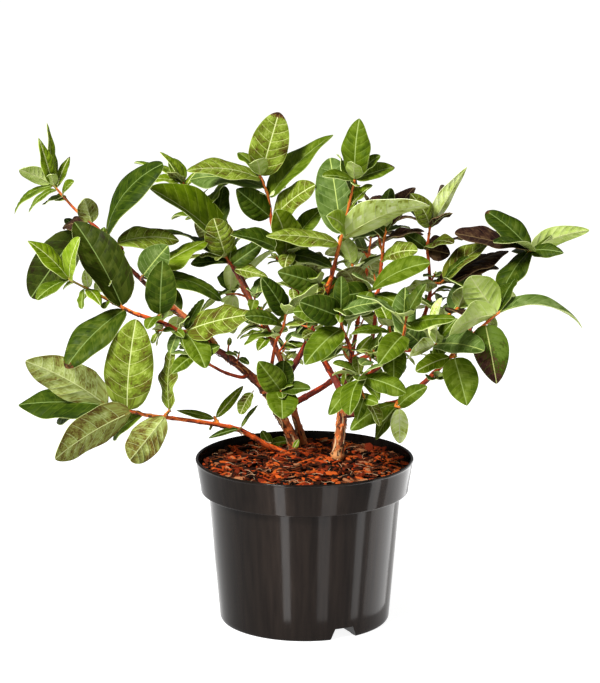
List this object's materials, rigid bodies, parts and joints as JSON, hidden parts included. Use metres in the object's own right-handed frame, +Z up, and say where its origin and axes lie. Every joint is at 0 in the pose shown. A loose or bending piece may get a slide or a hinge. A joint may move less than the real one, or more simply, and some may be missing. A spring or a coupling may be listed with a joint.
{
  "type": "potted honeyberry shrub",
  "caption": "Young honeyberry shrub with arching red-brown stems and oval leaves, standing in a round black plastic nursery pot of bark mulch.",
  "frame": {"origin": "centre of the pot's flat underside", "axes": "+Z up, +X to the right of the plant's front, +Y to its back"},
  "size_m": [0.502, 0.2987, 0.44],
  "materials": {
    "pot_plastic": "satin-gloss black, moulded",
    "bark_mulch": "rough, loose chips",
    "bark": "thin, peeling brown-red bark",
    "foliage": "soft matt leaf",
    "pale_foliage": "soft matt leaf underside",
    "dried_foliage": "dry and brittle"
  },
  "bodies": {
    "root": {"bough_back_left": "bark", "bough_back_right": "bark", "bough_centre": "bark", "bough_centre_right": "bark", "bough_cross": "bark", "bough_front": "bark", "bough_front_right": "bark", "bough_left_inner": "bark", "bough_low_front": "bark", "bough_mid_left": "bark", "bough_right_far": "bark", "bough_right_low": "bark", "bough_right_mid": "bark", "bough_top": "bark", "bough_top_left": "bark", "bough_upper_left": "bark", "growing_medium": "bark_mulch", "leaves_back_left": "foliage", "leaves_back_mid": "foliage", "leaves_back_right": "foliage", "leaves_back_tip": "foliage", "leaves_centre": "foliage", "leaves_centre_back": "foliage", "leaves_centre_cross": "foliage", "leaves_centre_high": "foliage", "leaves_centre_right": "foliage", "leaves_centre_right_mid": "foliage", "leaves_far_left": "foliage", "leaves_front_centre": "foliage", "leaves_front_right": "foliage", "leaves_high_left": "foliage", "leaves_knot": "foliage", "leaves_left_high": "foliage", "leaves_left_inner": "foliage", "leaves_left_mid": "foliage", "leaves_left_node": "foliage", "leaves_low_front": "foliage", "leaves_low_left_inner": "foliage", "leaves_low_left_mid": "foliage", "leaves_low_left_tip": "foliage", "leaves_low_right": "foliage", "leaves_mid_left_tip": "foliage", "leaves_right_back": "foliage", "leaves_right_far": "foliage", "leaves_right_high": "foliage", "leaves_right_inner": "foliage", "leaves_right_low_mid": "foliage", "leaves_right_low_tip": "foliage", "leaves_right_mid": "foliage", "leaves_right_tip": "foliage", "leaves_top": "foliage", "leaves_top_left": "foliage", "leaves_top_left_low": "foliage", "leaves_upper_left_mid": "foliage", "leaves_upper_left_tip": "foliage", "pot": "pot_plastic", "stem_back": "bark", "stem_left": "bark", "stem_low": "bark", "stem_right": "bark"}
  },
  "joints": []
}
